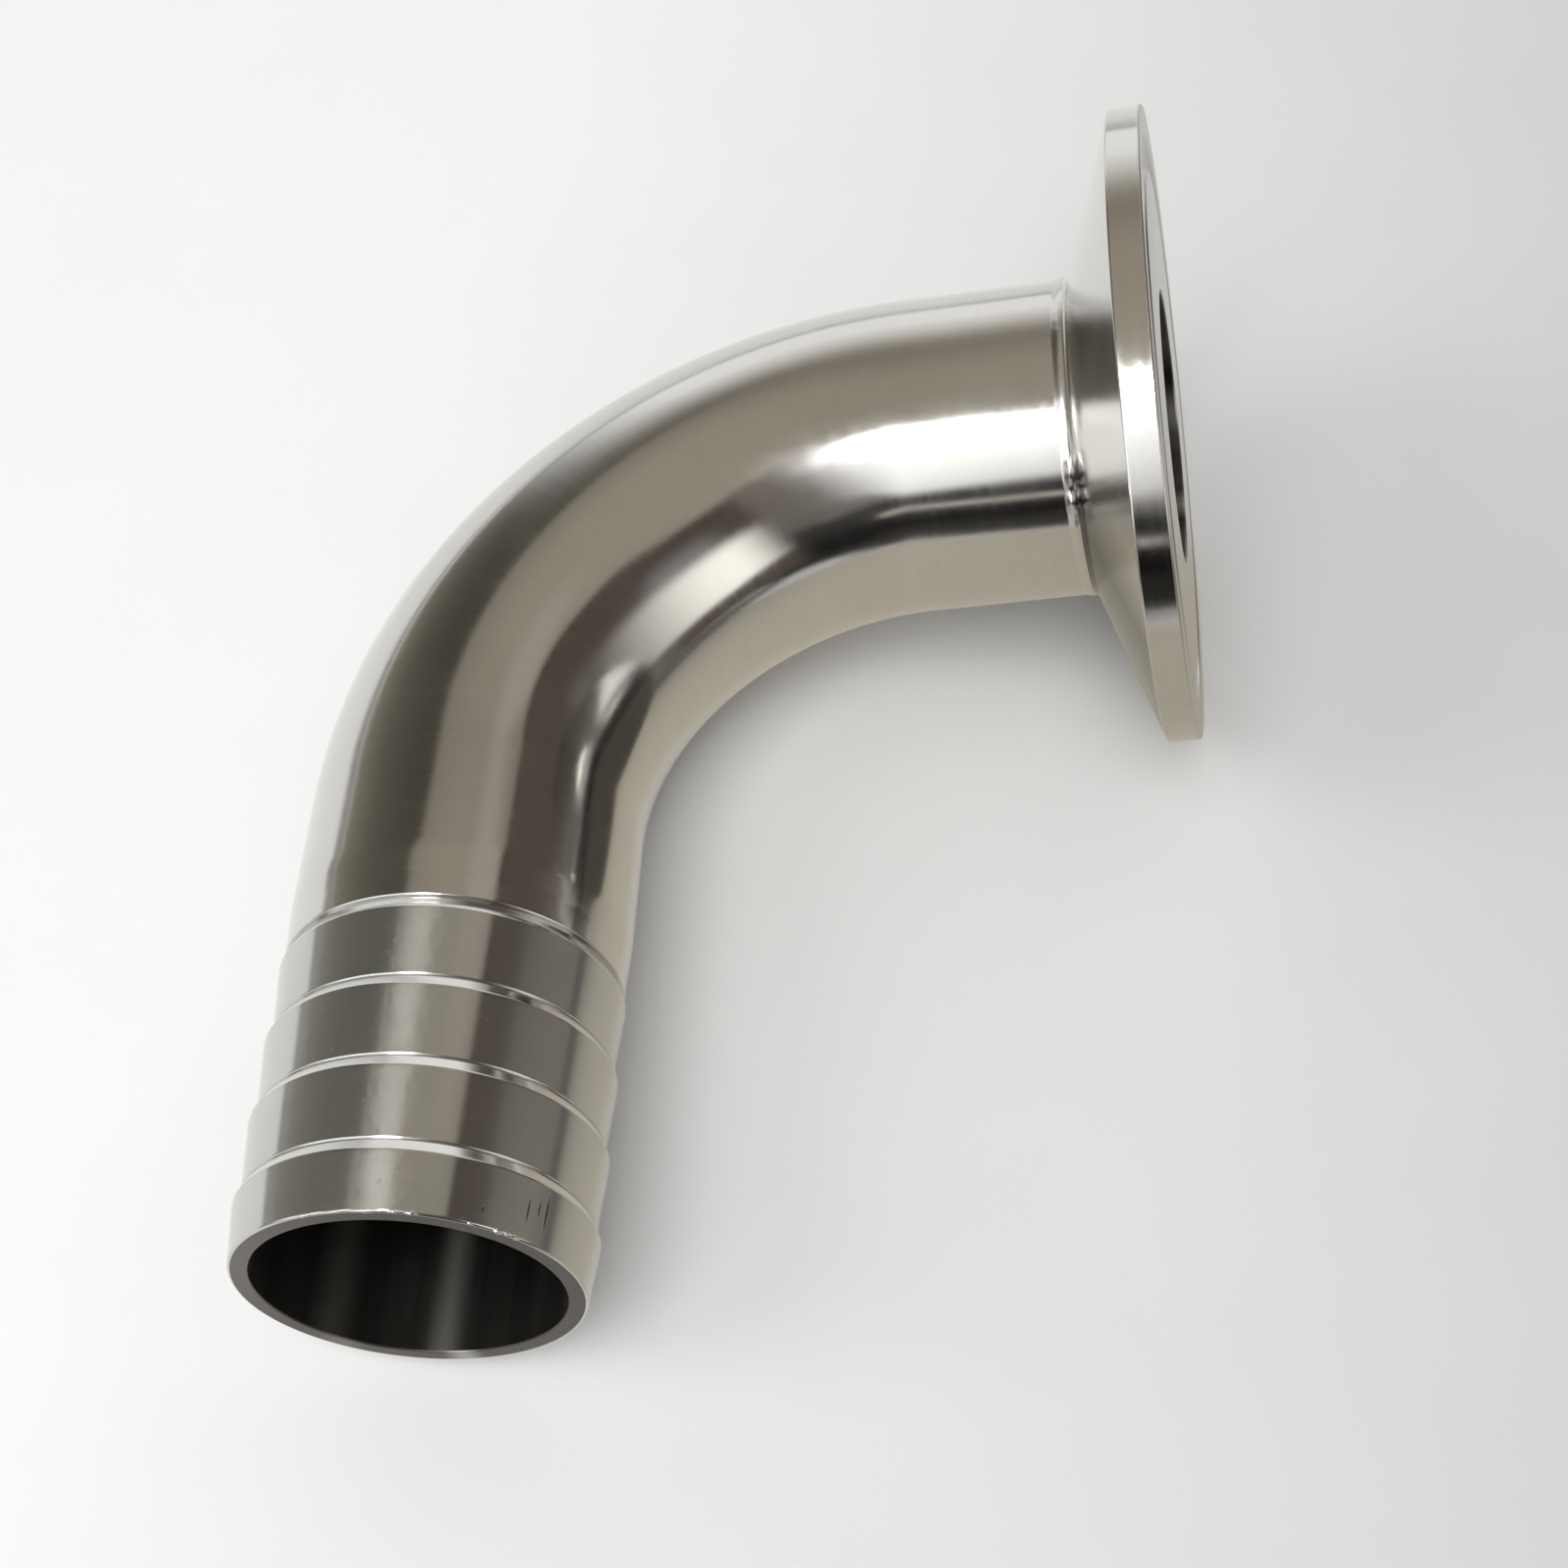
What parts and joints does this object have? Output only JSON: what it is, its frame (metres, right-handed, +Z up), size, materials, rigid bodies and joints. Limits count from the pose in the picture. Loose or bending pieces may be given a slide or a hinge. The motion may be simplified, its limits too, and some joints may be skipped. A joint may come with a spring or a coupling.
{
  "type": "barbed elbow fitting",
  "caption": "Quarter-bend stainless tube elbow with a sanitary clamp ferrule welded on one end and a saw-toothed hose barb on the other.",
  "frame": {"origin": "middle of the base of the box round the elbow, on the ground that it lies on", "axes": "+Z up; the barb leg points along -Y and leans up 3.4 degrees, and the ferrule leg points along +X and rises 15.1 degrees"},
  "size_m": [0.0718, 0.0984, 0.0494],
  "materials": {
    "polished_steel": "machine-polished stainless steel, close to a mirror, with fine lines round the tube"
  },
  "bodies": {
    "root": {"clamp_ferrule": "polished_steel", "straight_tube": "polished_steel", "bent_tube": "polished_steel", "hose_barb": "polished_steel"}
  },
  "joints": []
}
